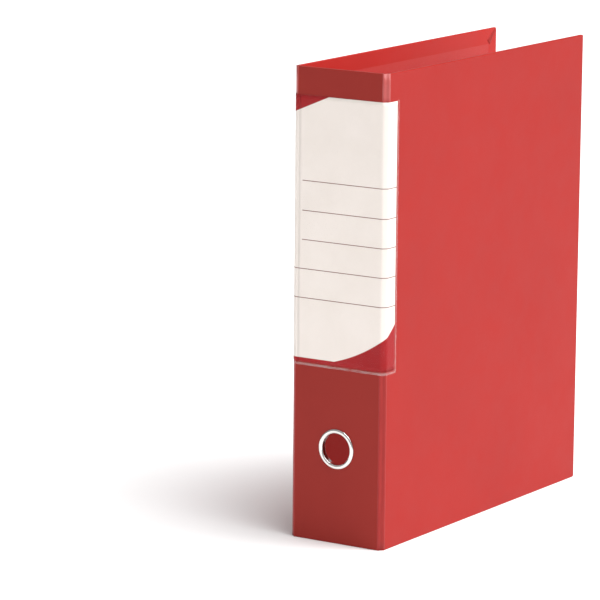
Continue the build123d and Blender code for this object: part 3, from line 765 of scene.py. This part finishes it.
def finger_ring():
    """An eyelet of sheet: domed flange outside, barrel in the board, lip rolled over the washer."""
    lo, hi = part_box("finger_ring")
    washer_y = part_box("finger_ring_washer")[1].y
    outer = (hi.x - lo.x) / 2
    dome = SPINE_Y - lo.y
    lip_reach = outer - RING_LIP_SHORT
    profile = []
    middle = (outer + RING_BORE) / 2
    half = (outer - RING_BORE) / 2
    for angle in even(0.0, math.pi, RING_BEAD_STEPS):
        rise = dome * math.sin(angle) ** RING_BEAD_FULLNESS
        profile.append((middle + half * math.cos(angle), SPINE_Y - SKIN_GAP - rise))
    profile.append((RING_BORE, washer_y - RING_ROLL_START))
    roll = hi.y - washer_y
    for angle in even(0.0, math.pi / 2, RING_ROLL_STEPS)[1:]:
        profile.append((RING_BORE + roll * (1 - math.cos(angle)), washer_y + roll * math.sin(angle)))
    profile.append((lip_reach - RING_LIP_BEVEL, hi.y))
    profile.append((lip_reach, washer_y + roll / 2))
    profile.append((lip_reach - RING_LIP_BEVEL, washer_y + SKIN_GAP))
    profile.append((RING_BORE + RING_SHEET, washer_y + SKIN_GAP))
    profile.append((RING_BORE + RING_SHEET, SPINE_Y - SKIN_GAP))
    ring = turned_about_y("finger_ring_eyelet", profile, (lo + hi) / 2, RING_AROUND)
    ring.data.materials.append(RING_LOOK)
    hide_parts("finger_ring")
    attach(ring, "spine")


# ================================================================ finish of the CAD nodes
COVER_REDS = ((0.315, 0.012, 0.009, 1), (0.34, 0.014, 0.0105, 1), (0.355, 0.018, 0.0135, 1))
# The spine's reds are the cover reds made darker and browner. This is painted shade for the spine's
# face, which is the same film in less light.
SHADED_SPINE_REDS = ((0.255, 0.02, 0.0145, 1), (0.275, 0.0225, 0.0165, 1), (0.29, 0.027, 0.02, 1))
FILM_LOOK = red_film("red_film_look", *COVER_REDS)
SHADED_SPINE_LOOK = red_film("spine_film_shaded_look", *SHADED_SPINE_REDS)
HINGE_LOOK = hinge_film()
LINING_LOOK = red_lining()
BOARD_LOOK = greyboard()
CARD_LOOK = printed_card()
CLEAR_LOOK = clear_film()
INLAY_LOOK = grey_inlay()
WIRE_LOOK = nickel("nickel_wire_look", (0.72, 0.70, 0.68), 0.14, (1.0, 1.0, 0.3))
SHEET_LOOK = nickel("nickel_sheet_look", (0.68, 0.66, 0.645), 0.2, (1.0, 1.0, 0.08))
RING_LOOK = nickel("finger_ring_look", (0.78, 0.76, 0.74), 0.12, (0.4, 0.4, 0.4))
STEEL_LOOK = spring_steel()

paint(("front_covering", "back_covering"), FILM_LOOK)
paint(("spine_covering",), SHADED_SPINE_LOOK)
paint(("front_lining", "back_lining", "spine_lining"), LINING_LOOK)
paint(("front_board", "back_board", "spine_board"), BOARD_LOOK)
paint(("finger_ring", "finger_ring_washer"), RING_LOOK)
paint(("arch_wire", "post_lower", "post_upper", "lever_pin", "roller_pin", "lever_roller"), WIRE_LOOK)
paint(("base_rivets", "bracket_rivets", "knob_rivet"), WIRE_LOOK)
paint(("base_plate", "arch_clip_lower", "arch_clip_upper", "lever_bracket"), SHEET_LOOK)
paint(("lever_arm", "press_bar", "press_bar_knob"), SHEET_LOOK)
paint(("arch_spring",), STEEL_LOOK)

hinge_strip("hinge_film_front", 1)
hinge_strip("hinge_film_back", -1)
for body, side in (("front_cover", 1), ("back_cover", -1)):
    corner_fold(body + "_fold_upper", body, side, 1)
    corner_fold(body + "_fold_lower", body, side, -1)
hinge_liner("hinge_liner_front", 1)
hinge_liner("hinge_liner_back", -1)
label_card()
label_pocket()
finger_ring()
knob_inlay()

# ================================================================ stage, light and camera
CAMERA_AZIMUTH = math.radians(33.11)
CAMERA_ELEVATION = math.radians(11.0)
CAMERA_ROLL = math.radians(0.51)
CAMERA_DISTANCE = 2.82
CAMERA_AIM = Vector((-0.0085, -0.1797, 0.1869))
CAMERA_LENS = 235.7
SENSOR_WIDTH = 36.0
WORLD_STRENGTH = 0.44
FLOOR_HALF = 9.0


def floor():
    mesh = bpy.data.meshes.new("studio_floor")
    bm = bmesh.new()
    low = CAD_BOX[0].z - SKIN_GAP
    corners = [(x * FLOOR_HALF, y * FLOOR_HALF) for x, y in ((-1, -1), (1, -1), (1, 1), (-1, 1))]
    bm.faces.new([bm.verts.new((x, y, low)) for x, y in corners])
    bm.to_mesh(mesh)
    bm.free()
    made = mesh_object("studio_floor", mesh)
    s = Shader("studio_floor_look", Roughness=0.9, Specular_IOR_Level=0.1)
    paper = s.noise(6.0, 2.0)
    s.colour(s.mix(s.spread(paper, 0.3, 0.7), (0.86, 0.86, 0.86, 1), (0.88, 0.88, 0.88, 1)))
    made.data.materials.append(s.material)
    return made


def area_light(name, place, aim, width, height, power):
    data = bpy.data.lights.new(name, "AREA")
    data.shape = "RECTANGLE"
    data.size, data.size_y = width, height
    data.energy = power
    made = bpy.data.objects.new(name, data)
    bpy.context.scene.collection.objects.link(made)
    made.location = place
    made.rotation_euler = (Vector(aim) - Vector(place)).to_track_quat("-Z", "Y").to_euler()
    return made


def light_only(light, names, blocker):
    """Keeps a fill light to these CAD nodes, shaded only by the blocker, and out of reflections."""
    receivers = bpy.data.collections.new(light.name + "_receivers")
    for name in names:
        receivers.objects.link(NODES[name])
    light.light_linking.receiver_collection = receivers
    blockers = bpy.data.collections.new(light.name + "_blockers")
    blockers.objects.link(blocker)
    light.light_linking.blocker_collection = blockers
    light.visible_glossy = False


def sun_light(name, towards, strength, softness):
    """An even soft light from the direction towards; softness is its width in degrees."""
    data = bpy.data.lights.new(name, "SUN")
    data.energy = strength
    data.angle = math.radians(softness)
    made = bpy.data.objects.new(name, data)
    bpy.context.scene.collection.objects.link(made)
    made.rotation_euler = Vector(towards).to_track_quat("Z", "Y").to_euler()
    return made


def dark_card(name, place, aim, width, height):
    """A black card that only shows in reflections, to give the bright metal its contrast."""
    mesh = bpy.data.meshes.new(name)
    bm = bmesh.new()
    corners = [(-1, -1), (1, -1), (1, 1), (-1, 1)]
    bm.faces.new([bm.verts.new((x * width / 2, y * height / 2, 0)) for x, y in corners])
    bm.to_mesh(mesh)
    bm.free()
    made = mesh_object(name, mesh)
    look = Shader(name + "_look", Roughness=1.0, Base_Color=(0.01, 0.01, 0.01, 1))
    made.data.materials.append(look.material)
    made.location = place
    made.rotation_euler = (Vector(aim) - Vector(place)).to_track_quat("-Z", "Y").to_euler()
    made.visible_camera = False
    made.visible_diffuse = False
    made.visible_shadow = False


def camera():
    back = Vector((
        math.sin(CAMERA_AZIMUTH) * math.cos(CAMERA_ELEVATION),
        -math.cos(CAMERA_AZIMUTH) * math.cos(CAMERA_ELEVATION),
        math.sin(CAMERA_ELEVATION),
    ))
    right = Vector((math.cos(CAMERA_AZIMUTH), math.sin(CAMERA_AZIMUTH), 0))
    up = back.cross(right)
    data = bpy.data.cameras.new("camera")
    data.lens = CAMERA_LENS
    data.sensor_width = SENSOR_WIDTH
    data.clip_start = 0.05
    data.clip_end = 60.0
    made = bpy.data.objects.new("camera", data)
    bpy.context.scene.collection.objects.link(made)
    turned_right = right * math.cos(CAMERA_ROLL) + up * math.sin(CAMERA_ROLL)
    turned_up = up * math.cos(CAMERA_ROLL) - right * math.sin(CAMERA_ROLL)
    axes = Matrix((turned_right, turned_up, back)).transposed()
    made.matrix_world = Matrix.Translation(CAMERA_AIM + back * CAMERA_DISTANCE) @ axes.to_4x4()
    bpy.context.scene.camera = made


def world():
    made = bpy.data.worlds.new("studio")
    made.use_nodes = True
    background = made.node_tree.nodes["Background"]
    background.inputs["Color"].default_value = (1, 1, 1, 1)
    background.inputs["Strength"].default_value = WORLD_STRENGTH
    bpy.context.scene.world = made


studio_floor = floor()
world()
area_light("key_light", (2.2, 0.9, 1.3), (0.04, 0.0, 0.15), width=1.6, height=1.6, power=24)
sun_light("top_light", (0.5, 0.12, 1.0), strength=4.1, softness=55)
inside = sun_light("inside_light", (1.0, 0.27, 0.2), strength=2.3, softness=40)
light_only(inside, ("front_lining", "back_lining", "spine_lining", "back_covering"), studio_floor)
low_fill = area_light(
    "low_fill_light", (-0.1, -0.65, 0.03), (0.0, -0.14, 0.03), width=0.5, height=0.05, power=0.5
)
low_fill.visible_glossy = False
dark_card("dark_card_high", (0.8, -1.3, 1.7), (0, -0.14, 0.1), width=0.9, height=0.7)
dark_card("dark_card_low", (-1.6, -0.7, 0.35), (0, -0.14, 0.1), width=0.35, height=1.2)
camera()
bpy.context.scene.view_settings.view_transform = "Standard"
